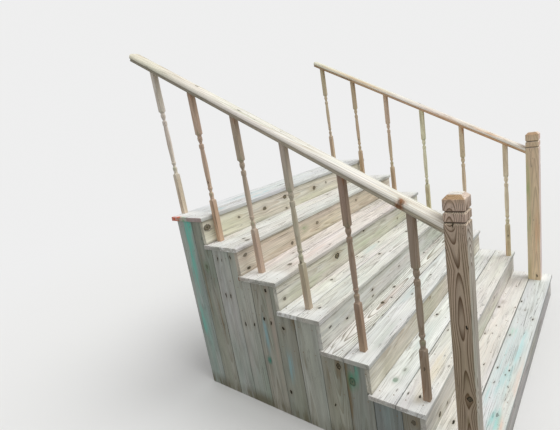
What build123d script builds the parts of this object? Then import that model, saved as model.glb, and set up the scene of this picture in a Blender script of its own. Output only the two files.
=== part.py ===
from build123d import *
import os
from math import atan2, cos, sin, tan

# Wooden deck stairs of seven steps, in millimetres. They climb towards +Y, their width lies along X,
# and Z is zero on the ground. The origin is on the ground, in the middle of the width and of the length.

# Steps
step_count = 7
rise = 173.0
stair_width = 2092.0  # a tread, end to end
nosing = 9.0  # tread front past the face of its riser
riser_bearing = 19.0  # how far a tread runs under the riser that stands on it
side_overhang = 12.7  # tread end past the outer face of the skirt

# Boards
board_width = 139.7
board_thickness = 25.4
board_gap = 2.6
board_round = 4.5
top_board_width = 155.0  # the wider back board of the top tread
top_overhang = 39.8  # top tread past the back face of the frame
riser_thickness = 25.4
riser_round = 2.0
skirt_thickness = 25.4
skirt_gap = 1.2

# Frame under the treads
stringer_count = 6
stringer_thickness = 38.1
stringer_depth = 285.75
header_thickness = 38.1
header_depth = 184.15
nailer_thickness = 38.1
nailer_depth = 88.9
nailer_clearance = 5.0

# Railings
rail_line = 101.0  # middle of the posts and spindles, in from the tread ends
newel_size = 82.5
newel_height = 1148.0
newel_setback = 101.0  # middle of the post, behind the front of the lowest tread
newel_bevel = 17.0
groove_depth = 6.5
groove_drops = (65.0, 108.0)  # middle of each groove, below the top of the post
baluster_count = 6
first_baluster_step = 2
baluster_size = 31.0
baluster_length = 912.0  # along its longer side, which is the uphill one
baluster_setback = 27.0  # middle of the lowest spindle, behind the front of the tread it stands on
lower_square = 269.0
upper_square_start = 645.0
rail_width = 88.9
rail_thickness = 38.1
rail_flat = 42.0  # width of the flat strip along the top
rail_edge_height = 15.0  # where the rounded shoulders end, above the underside
shoulder_fullness = 0.42  # 0 is a straight slope and 1 a square corner
cove_radius = 6.0
cove_depth = 4.0
cove_height = 8.8
left_rail_reach = 174.0  # upper end of the left handrail, past the back face of the frame
right_rail_reach = 81.0

# Places that follow from the sizes
tread_depth = 2 * board_width + board_gap
top_tread_depth = board_width + board_gap + top_board_width
run = tread_depth - riser_bearing - nosing
frame_length = (step_count - 1) * run + top_tread_depth - top_overhang
first_front = -(frame_length + max(left_rail_reach, right_rail_reach)) / 2
back_face = first_front + frame_length
header_front = back_face - header_thickness
skirt_outer = stair_width / 2 - side_overhang
skirt_inner = skirt_outer - skirt_thickness
rail_x = stair_width / 2 - rail_line
pitch = atan2(rise, run)


def tread_front(step):
    return first_front + (step - 1) * run


def tread_top(step):
    return step * rise


def riser_back(step):
    return tread_front(step) + nosing + riser_thickness


def save(part, name):
    part.label = name
    export_step(part, f"parts/{name}.step")


os.makedirs("parts", exist_ok=True)

# Treads: two rounded boards side by side, with a wider back board on the top step
for step in range(1, step_count + 1):
    back_width = top_board_width if step == step_count else board_width
    front_middle = tread_front(step) + board_width / 2
    back_middle = tread_front(step) + board_width + board_gap + back_width / 2
    with BuildPart() as tread:
        with BuildSketch(Plane.XY.offset(tread_top(step) - board_thickness)):
            with Locations((0, front_middle)):
                Rectangle(stair_width, board_width)
            with Locations((0, back_middle)):
                Rectangle(stair_width, back_width)
        extrude(amount=board_thickness)
        fillet(tread.edges().filter_by(Axis.X), board_round)
    save(tread.part, f"tread_{step}")

# Risers: each stands on the back of the tread below and reaches the underside of the tread above
for step in range(1, step_count + 1):
    riser_middle = tread_front(step) + nosing + riser_thickness / 2
    with BuildPart() as riser:
        with BuildSketch(Plane.XY.offset(tread_top(step - 1))):
            with Locations((0, riser_middle)):
                Rectangle(2 * skirt_outer, riser_thickness)
        extrude(amount=rise - board_thickness)
        fillet(riser.edges().filter_by(Axis.X).group_by(Axis.Y)[0], riser_round)
    save(riser.part, f"riser_{step}")


# Stepped line that carries the treads and risers, from the front foot to a given back end
def step_line(back_end):
    points = [(riser_back(1), 0)]
    for step in range(1, step_count + 1):
        level = tread_top(step) - board_thickness
        next_cut = back_end if step == step_count else riser_back(step + 1)
        points += [(riser_back(step), level), (next_cut, level)]
    return points


# Stringers: planks on edge, notched for the steps, cut level on the ground and plumb at the header
notch_corner = tread_top(1) - board_thickness
plumb_depth = stringer_depth / cos(pitch)
stringer_tail = notch_corner + (header_front - riser_back(1)) * tan(pitch) - plumb_depth
stringer_heel = riser_back(1) + (plumb_depth - notch_corner) / tan(pitch)
stringer_outline = step_line(header_front) + [(header_front, stringer_tail), (stringer_heel, 0)]
stringer_spacing = (2 * skirt_inner - stringer_thickness) / (stringer_count - 1)
for number in range(stringer_count):
    stringer_face = -skirt_inner + number * stringer_spacing
    with BuildPart() as stringer:
        with BuildSketch(Plane.YZ.offset(stringer_face)):
            with BuildLine():
                Polyline(*stringer_outline, close=True)
            make_face()
        extrude(amount=stringer_thickness)
    save(stringer.part, f"stringer_{number + 1}")

# Header: a plank on edge across the back ends of the stringers, under the top tread
with BuildPart() as header:
    with BuildSketch(Plane.XY.offset(tread_top(step_count) - board_thickness - header_depth)):
        with Locations((0, back_face - header_thickness / 2)):
            Rectangle(2 * skirt_inner, header_thickness)
    extrude(amount=header_depth)
save(header.part, "header")

# Skirts: upright boards that close each side, cut to the steps, with an open joint between boards
joint_count = int((back_face - riser_back(1)) / (board_width + skirt_gap))
joints = [back_face - n * (board_width + skirt_gap) + skirt_gap / 2 for n in range(1, joint_count + 1)]
nailer_front = stringer_heel + nailer_depth / tan(pitch) + nailer_clearance
for side, name in ((-1, "left"), (1, "right")):
    with BuildPart() as skirt:
        with BuildSketch(Plane.YZ.offset(side * (skirt_inner + skirt_thickness / 2))):
            with BuildLine():
                Polyline(*step_line(back_face), (back_face, 0), close=True)
            make_face()
            with Locations(*[(joint, tread_top(step_count) / 2) for joint in joints]):
                Rectangle(skirt_gap, tread_top(step_count), mode=Mode.SUBTRACT)
        extrude(amount=skirt_thickness / 2, both=True)
    save(skirt.part, f"{name}_skirt")

    # The nailer lies on the ground behind the stringer's heel and holds the feet of the skirt boards
    with BuildPart() as nailer:
        with BuildSketch(Plane.XY):
            with Locations((side * (skirt_inner - nailer_thickness / 2), (nailer_front + back_face) / 2)):
                Rectangle(nailer_thickness, back_face - nailer_front)
        extrude(amount=nailer_depth)
    save(nailer.part, f"{name}_skirt_nailer")

# Railing line: the spindles are evenly spaced and alike, so the handrail climbs one rise a spindle
newel_y = tread_front(1) + newel_setback
newel_back = newel_y + newel_size / 2
first_baluster = tread_front(first_baluster_step) + baluster_setback
last_baluster = tread_front(step_count) + top_tread_depth - baluster_size / 2
baluster_spacing = (last_baluster - first_baluster) / (baluster_count - 1)
rail_angle = atan2(rise, baluster_spacing)
rail_slope = tan(rail_angle)
baluster_middle_length = baluster_length - rail_slope * baluster_size / 2


def rail_underside(y):
    foot = tread_top(first_baluster_step)
    return foot + baluster_middle_length + (y - first_baluster) * rail_slope


# Turned part of a spindle: each radius in halves of its side, each height in sides from the end of a square
foot_shape = [(0, -0.23), (0.77, -0.23), (0.77, 0.35), (0.87, 0.65), (0.9, 0.95), (0.87, 1.08), (0.55, 1.3)]
foot_shape += [(0.55, 1.5), (0.84, 1.88), (0.92, 1.97), (0.92, 2.2), (0.75, 2.27)]
head_shape = [(0.75, -2.42), (0.92, -2.36), (0.94, -2.0), (0.92, -1.62), (0.8, -1.55), (0.54, -1.5)]
head_shape += [(0.54, -1.32), (0.86, -0.8), (0.93, -0.72), (0.93, -0.3), (0.8, -0.2), (0.8, 0.23), (0, 0.23)]
belly_radius = 0.96 * baluster_size / 2
belly_part = 0.54  # how far up its part of the spindle the belly is widest
foot_turning = [(r * baluster_size / 2, lower_square + h * baluster_size) for r, h in foot_shape]
head_turning = [(r * baluster_size / 2, upper_square_start + h * baluster_size) for r, h in head_shape]
belly_foot = foot_turning[-1][1]
belly_height = belly_foot + belly_part * (head_turning[0][1] - belly_foot)


def make_baluster(x, y, foot):
    spindle_plane = Plane(origin=(x, y, foot), x_dir=(1, 0, 0), z_dir=(0, -1, 0))
    slope_plane = Plane(origin=(x, y, rail_underside(y)), x_dir=(1, 0, 0), z_dir=(0, -rail_slope, 1))
    with BuildPart() as baluster:
        with BuildSketch(Plane.XY.offset(foot)):
            with Locations((x, y)):
                Rectangle(baluster_size, baluster_size)
        extrude(amount=lower_square)
        with BuildSketch(Plane.XY.offset(foot + upper_square_start)):
            with Locations((x, y)):
                Rectangle(baluster_size, baluster_size)
        extrude(amount=baluster_length - upper_square_start)
        with BuildSketch(spindle_plane):
            with BuildLine():
                Polyline(*foot_turning)
                Spline(foot_turning[-1], (belly_radius, belly_height), head_turning[0])
                Polyline(*head_turning)
                Line(head_turning[-1], foot_turning[0])
            make_face()
        revolve(axis=Axis((x, y, 0), (0, 0, 1)))
        split(bisect_by=slope_plane, keep=Keep.BOTTOM)
    return baluster.part


# Handrail section, in halves that mirror: flat strip along the top, rounded shoulder, and a cove in the side
shoulder_start = (rail_flat / 2, rail_thickness)
shoulder_end = (rail_width / 2, rail_edge_height)
slope_middle = ((rail_flat + rail_width) / 4, (rail_thickness + rail_edge_height) / 2)
shoulder_middle = (
    slope_middle[0] + shoulder_fullness * (rail_width / 2 - slope_middle[0]),
    slope_middle[1] + shoulder_fullness * (rail_thickness - slope_middle[1]),
)
cove_middle = rail_width / 2 + cove_radius - cove_depth
rail_margin = rail_thickness * rail_slope
rail_direction = (0, cos(rail_angle), sin(rail_angle))

# Newel post outline as height and width of its square sections, with its grooves and bevelled top
newel_base = tread_top(1)
newel_sections = [(0, newel_size)]
for drop in sorted(groove_drops, reverse=True):
    middle = newel_height - drop
    newel_sections += [(middle - groove_depth, newel_size), (middle, newel_size - 2 * groove_depth)]
    newel_sections += [(middle + groove_depth, newel_size)]
newel_sections += [(newel_height - newel_bevel, newel_size), (newel_height, newel_size - 2 * newel_bevel)]

# Railings: newel post, handrail and spindles of each side
for side, name, reach in ((-1, "left", left_rail_reach), (1, "right", right_rail_reach)):
    with BuildPart() as newel:
        for height, width in newel_sections:
            with BuildSketch(Plane.XY.offset(newel_base + height)):
                with Locations((side * rail_x, newel_y)):
                    Rectangle(width, width)
        loft(ruled=True)
    save(newel.part, f"{name}_newel")

    rail_top_end = back_face + reach
    rail_start = (side * rail_x, newel_back - rail_margin, rail_underside(newel_back - rail_margin))
    rail_run = (rail_top_end - newel_back + 2 * rail_margin) / cos(rail_angle)
    with BuildPart() as handrail:
        with BuildSketch(Plane(origin=rail_start, x_dir=(-1, 0, 0), z_dir=rail_direction)):
            with BuildLine():
                Line((0, rail_thickness), shoulder_start)
                ThreePointArc(shoulder_start, shoulder_middle, shoulder_end)
                Polyline(shoulder_end, (rail_width / 2, 0), (0, 0))
                mirror(about=Plane.YZ)
            make_face()
            with Locations((-cove_middle, cove_height), (cove_middle, cove_height)):
                Circle(cove_radius, mode=Mode.SUBTRACT)
        extrude(amount=rail_run)
        split(bisect_by=Plane(origin=(0, newel_back, 0), z_dir=(0, 1, 0)), keep=Keep.TOP)
        split(bisect_by=Plane(origin=(0, rail_top_end, 0), z_dir=(0, 1, 0)), keep=Keep.BOTTOM)
    save(handrail.part, f"{name}_handrail")

    for number in range(baluster_count):
        baluster_y = first_baluster + number * baluster_spacing
        spindle = make_baluster(side * rail_x, baluster_y, tread_top(first_baluster_step + number))
        save(spindle, f"{name}_baluster_{number + 1}")
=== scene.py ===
import random
from math import atan2, cos, pi, radians, sin, tan

import bmesh
import bpy
import numpy as np
from mathutils import Matrix, Vector


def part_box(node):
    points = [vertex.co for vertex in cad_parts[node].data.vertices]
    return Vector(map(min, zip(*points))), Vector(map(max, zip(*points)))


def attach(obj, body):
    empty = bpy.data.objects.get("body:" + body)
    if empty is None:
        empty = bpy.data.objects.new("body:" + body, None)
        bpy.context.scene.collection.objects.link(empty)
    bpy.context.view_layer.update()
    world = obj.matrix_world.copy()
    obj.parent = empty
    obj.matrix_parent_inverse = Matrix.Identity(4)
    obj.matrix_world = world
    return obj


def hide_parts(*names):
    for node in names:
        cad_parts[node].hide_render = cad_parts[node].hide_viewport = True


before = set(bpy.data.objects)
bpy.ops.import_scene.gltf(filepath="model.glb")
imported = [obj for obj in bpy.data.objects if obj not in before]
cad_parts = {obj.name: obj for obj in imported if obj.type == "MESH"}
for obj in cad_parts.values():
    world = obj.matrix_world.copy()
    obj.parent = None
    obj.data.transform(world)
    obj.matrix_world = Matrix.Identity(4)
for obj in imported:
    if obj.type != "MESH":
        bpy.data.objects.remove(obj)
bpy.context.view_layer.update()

# Stringers. Six sawn pine planks on edge carry the steps, notched for them and cut level on the ground.
# They are treated lumber, rough from the saw, still yellow-green where the weather doesn't reach.
# Each is one plank, nailed through the header into its back end.
step_count = 7
stringer_count = 6
stringer_depth = 0.28575
sawn_edge = 0.0012
lumber_colour = (186, 171, 128)
seam_band = 0.003
stain_fade = 1.6
stain_depth = 0.012
end_reach = 0.002
tolerance = 1e-6
wood_crease = 38
no_knot = (9.0, 9.0, 0.01, 0.0)
halo_brown = (140, 118, 84)


def linear(colour):
    """Turns a colour from 0 to 255 into the shader's scale"""
    shares = [value / 255 for value in colour]
    return tuple(share / 12.92 if share < 0.04 else ((share + 0.055) / 1.055) ** 2.4 for share in shares)


def board(rings, origin, along, across, out, seed, colour, ring_show=0.4, log=None, knots=(), stains=(),
          uneven=0.0, seams=(0, 0)):
    """One piece of wood, from rings of (along, across, depth) points whose depth is negative under its face.
    A log gives the pith's across and depth at some stations. Log, knots and stains are in millimetres."""
    local = np.array(rings, float)
    axes = np.array([along, across, out], float)
    world = np.array(origin, float) + local @ axes
    a, c, d = local[..., 0], local[..., 1], local[..., 2]
    chance = random.Random(seed)
    pith_across = (c.min() + c.max()) / 2 + chance.uniform(-0.05, 0.05)
    pith_depth = chance.uniform(-0.1, -0.05)
    lean_across = chance.uniform(-0.012, 0.012)
    lean_depth = chance.choice((-1, 1)) * chance.uniform(0.012, 0.03)
    start = chance.uniform(0, 40)
    if log:
        stations, pith_across, pith_depth = np.array(log).T / 1000
    else:
        stations = np.array((0.0, 3.0))
        pith_across = pith_across - lean_across * stations
        pith_depth = pith_depth - lean_depth * stations
    from_pith = c - np.interp(a, stations, pith_across), d - np.interp(a, stations, pith_depth)
    if uneven:
        wave = np.sin(5.1 * a + 31 * c + start) * np.sin(2.3 * a + 2 * start)
        wave += 0.5 * np.sin(17 * a - 40 * c + start)
        world += (uneven * (wave - 1.5) / 3)[..., None] * axes[2]
    tint = np.full(a.shape + (4,), ring_show)
    tint[..., :3] = colour(a, c, d) if callable(colour) else linear(colour)
    for dirt, far in zip(seams, (c - c.min(), c.max() - c)):
        tint[..., :3] *= 1 - dirt * np.clip(1 - far / seam_band, 0, 1)[..., None]
    stain = np.zeros(a.shape + (4,))
    on_face = (d > -stain_depth) | (a < end_reach)
    for at, side, half_length, half_width, shade, amount in stains:
        far = np.hypot((1000 * a - at) / half_length, (1000 * c - side) / half_width)
        share = (amount * np.clip(stain_fade * (1 - far), 0, 1) * on_face)[..., None]
        earlier = stain[..., 3:] * (1 - share)
        both = np.maximum(earlier + share, tolerance)
        stain[..., :3] = (stain[..., :3] * earlier + np.array(linear(shade)) * share) / both
        stain[..., 3:] = earlier + share
    return {
        "world": world,
        "log_place": np.stack([a + start, *from_pith], -1),
        "board_place": local,
        "tint": tint,
        "stain": stain,
        "knots": [(at / 1000, side / 1000, radius / 1000, darkness) for at, side, radius, darkness in knots],
    }


def make_piece(name, points, faces, finish, crease):
    """A closed mesh with one finish, smooth but for edges that turn by more than the crease, in degrees"""
    mesh = bpy.data.meshes.new(name)
    mesh.from_pydata(points, [], faces)
    turned = bmesh.new()
    turned.from_mesh(mesh)
    bmesh.ops.recalc_face_normals(turned, faces=turned.faces)
    turned.to_mesh(mesh)
    turned.free()
    mesh.shade_smooth()
    mesh.set_sharp_from_angle(angle=radians(crease))
    mesh.materials.append(finish)
    piece = bpy.data.objects.new(name, mesh)
    bpy.context.scene.collection.objects.link(piece)
    return piece


def timber(name, finish, boards):
    """Joins boards into one mesh that stands for the CAD node of that name"""
    points, faces, nearest_knots = [], [], []
    layers = {"log_place": [], "board_place": [], "tint": [], "stain": []}
    for wood in boards:
        ring_count, corner_count = wood["world"].shape[:2]
        world = wood["world"].reshape(-1, 3).tolist()
        sources = [wood[layer].reshape(len(world), -1).tolist() for layer in layers]
        known, numbers = {}, []
        for index, place in enumerate(np.round(wood["board_place"].reshape(-1, 3), 6).tolist()):
            key = tuple(place)
            if key not in known:
                known[key] = len(points)
                points.append(world[index])
                for layer, source in zip(layers.values(), sources):
                    layer.append(source[index])
            numbers.append(known[key])
        rows = np.array(numbers).reshape(ring_count, corner_count).tolist()
        loops = [rows[0][::-1], rows[-1]]
        for row, above in zip(rows, rows[1:]):
            loops += zip(row, row[1:] + row[:1], above[1:] + above[:1], above)
        for loop in loops:
            kept = [p for i, p in enumerate(loop) if p != loop[i - 1]]
            if len(kept) < 3 or len(set(kept)) < len(kept):
                continue
            faces.append(kept)
            a, c = (sum(layers["board_place"][p][axis] for p in kept) / len(kept) for axis in (0, 1))
            reaches = [((a - k[0]) ** 2 / 2 + (c - k[1]) ** 2) / k[2] ** 2 for k in wood["knots"]]
            nearest = wood["knots"][reaches.index(min(reaches))] if reaches else no_knot
            nearest_knots += [nearest] * len(kept)
    piece = make_piece(f"{name}_wood", points, faces, finish, wood_crease)
    for layer in ("log_place", "board_place"):
        place = piece.data.attributes.new(layer, "FLOAT_VECTOR", "POINT")
        place.data.foreach_set("vector", np.ravel(layers[layer]))
    for layer in ("tint", "stain"):
        colours = piece.data.attributes.new(layer, "FLOAT_COLOR", "POINT")
        colours.data.foreach_set("color", np.ravel(layers[layer]))
    knots = piece.data.attributes.new("knot", "FLOAT_COLOR", "CORNER")
    knots.data.foreach_set("color", np.ravel(nearest_knots))
    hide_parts(name)
    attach(piece, "root")
    return piece


def new_finish(name):
    """A new material, with its node tree and its shader"""
    material = bpy.data.materials.new(name)
    material.use_nodes = True
    return material, material.node_tree, material.node_tree.nodes["Principled BSDF"]


def plug(tree, node, inputs):
    """Links a socket, or sets a value, on each of a node's inputs"""
    for name, value in inputs.items():
        if isinstance(value, bpy.types.NodeSocket):
            tree.links.new(value, node.inputs[name])
        else:
            node.inputs[name].default_value = value


def add_node(tree, kind, inputs, **options):
    """Adds a shader node with its options and inputs, and gives its outputs"""
    node = tree.nodes.new("ShaderNode" + kind)
    for option, value in options.items():
        setattr(node, option, value)
    plug(tree, node, inputs)
    return node.outputs


def add_mix(tree, share, first, second):
    """Adds a node that goes from a first colour to a second, whose sockets for colours are known by number"""
    return add_node(tree, "Mix", {"Factor": share, 6: first, 7: second}, data_type="RGBA")[2]


def add_ramp(tree, value, stops):
    """Adds a colour ramp with a colour at each of its stops"""
    node = tree.nodes.new("ShaderNodeValToRGB")
    plug(tree, node, {"Fac": value})
    while len(node.color_ramp.elements) < len(stops):
        node.color_ramp.elements.new(1.0)
    for element, (position, colour) in zip(node.color_ramp.elements, stops):
        element.position = position
        element.color = (*colour, 1)
    return node.outputs["Color"]


def pine(name, ring_width, mottle, weather, late_wood=(0.62, 0.5, 0.38), late_start=0.35, fibres=0.12,
         lines=0.35, wander=(1.3, 0.02), cracks=0.8, mildew=0.5, roughness=0.78, relief=0.0007):
    """Pine with growth rings, fibres, knots, cracks, mildew and stains, laid out in each board's own log"""
    material, tree, shader = new_finish(name)

    def read(layer):
        return add_node(tree, "Attribute", {}, attribute_name=layer)

    def number(operation, first, second=0.0, clamp=False):
        return add_node(tree, "Math", {0: first, 1: second}, operation=operation, use_clamp=clamp)[0]

    def vector(operation, first, second=(0, 0, 0)):
        inputs = {0: first, "Scale" if operation == "SCALE" else 1: second}
        outputs = add_node(tree, "VectorMath", inputs, operation=operation)
        return outputs["Value" if operation == "LENGTH" else "Vector"]

    def cloud(place, stretch, detail, output="Fac"):
        inputs = {"Vector": vector("MULTIPLY", place, stretch), "Scale": 1.0, "Detail": detail}
        return add_node(tree, "TexNoise", inputs)[output]

    def between(value, low, high, out_low=0.0, out_high=1.0):
        inputs = {"Value": value, "From Min": low, "From Max": high, "To Min": out_low, "To Max": out_high}
        return add_node(tree, "MapRange", inputs, interpolation_type="SMOOTHSTEP")["Result"]

    def shaded(share, colour, factors):
        return add_mix(tree, share, colour, vector("MULTIPLY", colour, factors))

    log_place, board_place = read("log_place")["Vector"], read("board_place")["Vector"]
    tint, stain, knot = read("tint"), read("stain"), read("knot")
    halves = (0.5, 0.5, 0.5)

    # The grain flows round a knot, and a small knot is longer along the grain than a large one
    knot_radius = add_node(tree, "SeparateXYZ", {0: knot["Vector"]})["Z"]
    wobble = vector("SUBTRACT", cloud(board_place, (60, 60, 60), 2, "Color"), halves)
    from_knot = vector("SUBTRACT", board_place, knot["Vector"])
    from_knot = vector("ADD", from_knot, vector("SCALE", wobble, 0.016))
    length_share = between(knot_radius, 0.0045, 0.009, 0.38, 0.7)
    lengthened = add_node(tree, "CombineXYZ", {"X": length_share, "Y": 1.0})["Vector"]
    knot_far = number("DIVIDE", vector("LENGTH", vector("MULTIPLY", from_knot, lengthened)), knot_radius)
    pull = number("EXPONENT", number("MULTIPLY", number("MULTIPLY", knot_far, knot_far), -0.22))
    aside = vector("MULTIPLY", from_knot, (0, 0.9, 0))
    grain = vector("SUBTRACT", log_place, vector("SCALE", aside, pull))

    # Growth rings, wider and narrower by turns, each darkening slowly to its late wood and ending sharply
    bend = vector("SUBTRACT", cloud(grain, (wander[0], 9, 9), 1, "Color"), halves)
    grain = vector("ADD", grain, vector("MULTIPLY", bend, (0, wander[1], wander[1])))
    girth = vector("LENGTH", vector("MULTIPLY", grain, (0, 1, 1)))
    slow_years = number("MULTIPLY", cloud(grain, (0.4, 22, 22), 1), 2.2)
    year = number("ADD", number("DIVIDE", girth, ring_width), slow_years)
    late_end = 0.93
    middle = (late_start + late_end) / 2
    ring_stops = ((0.0, 0.0), (late_start, 0.1), (middle, 0.6), (late_end, 1.0), (1.0, 0.05))
    late = add_ramp(tree, number("FRACT", year), [(position, (dark,) * 3) for position, dark in ring_stops])
    colour = shaded(number("MULTIPLY", late, tint["Alpha"]), tint["Color"], late_wood)

    # Fibres and streaks along the grain, and broad changes of tone and hue
    fibre = cloud(grain, (7, 420, 420), 3)
    streak = cloud(grain, (1.6, 55, 55), 2)
    broad = cloud(log_place, (1.7, 6, 6), 3)
    colour = vector("SCALE", colour, between(fibre, 0.25, 0.75, 1 - fibres, 1 + fibres * 0.6))
    colour = vector("SCALE", colour, between(streak, 0.3, 0.7, 1 - fibres * 0.8, 1 + fibres * 0.8))
    colour = shaded(between(broad, 0.42, 0.68), colour, mottle)
    hue = vector("SCALE", cloud(log_place, (1.5, 10, 10), 2, "Color"), 0.11)
    colour = vector("MULTIPLY", colour, vector("ADD", hue, (0.945, 0.945, 0.945)))

    # Weathering: grey lines along the grain, and washed out blotches with dirt between them
    grey_line = between(cloud(grain, (5, 150, 150), 2), 0.54, 0.68)
    grey_line = number("MULTIPLY", grey_line, between(cloud(grain, (3, 22, 22), 2), 0.4, 0.62))
    colour = shaded(number("MULTIPLY", grey_line, lines), colour, (0.42, 0.4, 0.37))
    blotch = cloud(grain, (4.5, 26, 26), 3)
    colour = shaded(between(blotch, 0.5, 0.72, 0, weather * 0.7), colour, (0.7, 0.7, 0.67))
    colour = shaded(between(blotch, 0.45, 0.3, 0, weather * 0.5), colour, (1.13, 1.13, 1.13))

    # Stains, broken up by the fibres
    patchy = number("MULTIPLY", number("ADD", number("ADD", streak, broad), blotch), 0.6)
    stained = number("MULTIPLY", stain["Alpha"], between(patchy, 0.8, 1.0, 0.2, 1.2), clamp=True)
    colour = add_mix(tree, stained, colour, stain["Color"])

    # Knots: rings of their own, a dark bark line, and a darker halo
    heart_shades = (
        (0.0, (20, 17, 15)), (0.2, (48, 41, 32)), (0.42, (134, 124, 97)), (0.58, (92, 84, 66)),
        (0.76, (78, 72, 56)), (0.9, (28, 26, 22)), (1.0, (20, 18, 15)),
    )
    heart = add_ramp(tree, knot_far, [(far, linear(shade)) for far, shade in heart_shades])
    heart = vector("SCALE", heart, between(knot_radius, 0.006, 0.013, 0.3, 1.0))
    halo = number("MULTIPLY", number("MULTIPLY", pull, 0.4), knot["Alpha"])
    colour = add_mix(tree, halo, colour, (*linear(halo_brown), 1))
    colour = add_mix(tree, number("MULTIPLY", between(knot_far, 1.12, 0.88), knot["Alpha"]), colour, heart)

    # Small cracks along the grain, and specks of mildew
    split = number("ABSOLUTE", number("SUBTRACT", cloud(grain, (2.0, 75, 75), 1), 0.5))
    crack = between(cloud(log_place, (2.2, 14, 14), 1), 0.52, 0.62)
    crack = number("MULTIPLY", between(split, 0.014, 0.0), crack)
    colour = shaded(number("MULTIPLY", crack, cracks), colour, (0.3, 0.3, 0.3))
    speck = between(cloud(log_place, (240, 240, 240), 1), 0.66, 0.72)
    speck = number("MULTIPLY", speck, between(cloud(log_place, (5, 11, 11), 2), 0.5, 0.66))
    colour = shaded(number("MULTIPLY", speck, mildew), colour, (0.42, 0.42, 0.42))

    # Late wood, fibres and knots stand up a little, and cracks are sunk
    height = number("ADD", number("MULTIPLY", late, 0.3), number("MULTIPLY", fibre, 0.35))
    height = number("SUBTRACT", height, crack)
    proud = number("MULTIPLY", between(knot_far, 1.2, 0.8), number("MULTIPLY", knot["Alpha"], 0.5))
    height = number("ADD", height, proud)
    plug(tree, shader, {
        "Base Color": colour,
        "Normal": add_node(tree, "Bump", {"Height": height, "Strength": 0.7, "Distance": relief})["Normal"],
        "Roughness": between(fibre, 0.2, 0.8, roughness - 0.08, roughness + 0.1),
        "Specular IOR Level": 0.25,
    })
    return material


frame_lumber = pine(
    "treated_frame_lumber", ring_width=0.0065, mottle=(0.86, 0.95, 0.8), weather=0.3, cracks=0.5, mildew=0.3,
    roughness=0.82,
)
riser_backs = [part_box(f"riser_{n}")[1].y for n in range(1, step_count + 1)]
riser_tops = [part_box(f"riser_{n}")[1].z for n in range(1, step_count + 1)]
header_low, header_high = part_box("header")
pitch = atan2(riser_tops[1] - riser_tops[0], riser_backs[1] - riser_backs[0])
plumb_depth = stringer_depth / cos(pitch)
corners = [(riser_backs[0], 0.0)]
for back, top, next_back in zip(riser_backs, riser_tops, riser_backs[1:] + [header_low.y]):
    corners += [(back, top), (next_back, top)]
tail = riser_tops[0] + (header_low.y - riser_backs[0]) * tan(pitch) - plumb_depth
heel = riser_backs[0] + (plumb_depth - riser_tops[0]) / tan(pitch)
corners += [(header_low.y, tail), (heel, 0.0)]
plank_corners = []
for y, z in corners:
    y -= riser_backs[0]
    plank_corners.append((y * cos(pitch) + z * sin(pitch), z * cos(pitch) - y * sin(pitch)))
for number in range(1, stringer_count + 1):
    low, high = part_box(f"stringer_{number}")
    rings = [[(a, c, depth) for a, c in plank_corners] for depth in (0.0, low.x - high.x)]
    plank = board(
        rings, (high.x, riser_backs[0], 0.0),
        (0, cos(pitch), sin(pitch)), (0, -sin(pitch), cos(pitch)), (1, 0, 0),
        seed=number, colour=lumber_colour, ring_show=0.5,
    )
    stringer = timber(f"stringer_{number}", frame_lumber, [plank])
    eased = stringer.modifiers.new("sawn_edges", "BEVEL")
    eased.width = sawn_edge
    eased.segments = 2
    eased.limit_method = "ANGLE"
    eased.angle_limit = radians(40)

# Header and skirt nailers. The header is a plank on edge that ties the back ends of the stringers together.
# A nailer lies on the ground along each side, behind the stringer's heel, and holds the feet of the skirt.
# Both are planks of the same lumber as the stringers, with the small rounded edges that the mill leaves.
milled_edge = 0.003
frame_ring_spacing = 0.03
header_colour = (178, 164, 124)
nailer_colour = (160, 148, 112)


def board_section(width, thickness, edge, columns):
    """Outline of a board's end as (across, depth) points, with rounded edges and its two faces in columns"""
    inner = np.linspace(edge + seam_band, width - edge - seam_band, columns)
    underside = [(width - across, -thickness) for across in inner]
    face = [(across, 0.0) for across in inner]
    far, low = width - edge, edge - thickness
    outline = []
    centres = ((far, -edge, []), (far, low, underside), (edge, low, []), (edge, -edge, face))
    for turn, (c, d, run) in enumerate(centres):
        angles = [radians(90 - 90 * turn - 30 * part) for part in range(4)]
        outline += [(c + edge * cos(angle), d + edge * sin(angle)) for angle in angles] + run
    return outline


def straight_rings(length, section, spacing=0.014, ease=0.001):
    """Rings along a straight board, drawn in a little at both ends so that the sawn arris is soft"""
    steps = max(int(length / spacing), 2)
    stations = [0.0, ease, 3 * ease] + [length * n / steps for n in range(1, steps)]
    stations += [length - 3 * ease, length - ease, length]
    across, depth = np.array(section).T
    rings = []
    for a in stations:
        inset = ease if a in (0.0, length) else 0.0
        drawn_across = np.clip(across, inset, across.max() - inset)
        drawn_depth = np.clip(depth, depth.min() + inset, -inset)
        rings.append([(a, c, d) for c, d in zip(drawn_across, drawn_depth)])
    return rings


section = board_section(header_high.z - header_low.z, header_high.y - header_low.y, milled_edge, 8)
plank = board(
    straight_rings(header_high.x - header_low.x, section, frame_ring_spacing),
    (header_low.x, header_high.y, header_low.z), (1, 0, 0), (0, 0, 1), (0, 1, 0),
    seed=21, colour=header_colour, ring_show=0.5, uneven=-0.0005,
    knots=((310, 50, 11, 0.9), (1120, 130, 14, 1.0), (1630, 80, 9, 0.8)),
)
timber("header", frame_lumber, [plank])
for side in ("left", "right"):
    low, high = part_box(f"{side}_skirt_nailer")
    section = board_section(high.x - low.x, high.z - low.z, milled_edge, 3)
    plank = board(
        straight_rings(high.y - low.y, section, frame_ring_spacing),
        (low.x, low.y, high.z), (0, 1, 0), (1, 0, 0), (0, 0, 1),
        seed=23 + len(side), colour=nailer_colour, ring_show=0.5, knots=((550, 20, 8, 0.9),),
    )
    timber(f"{side}_skirt_nailer", frame_lumber, [plank])

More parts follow.
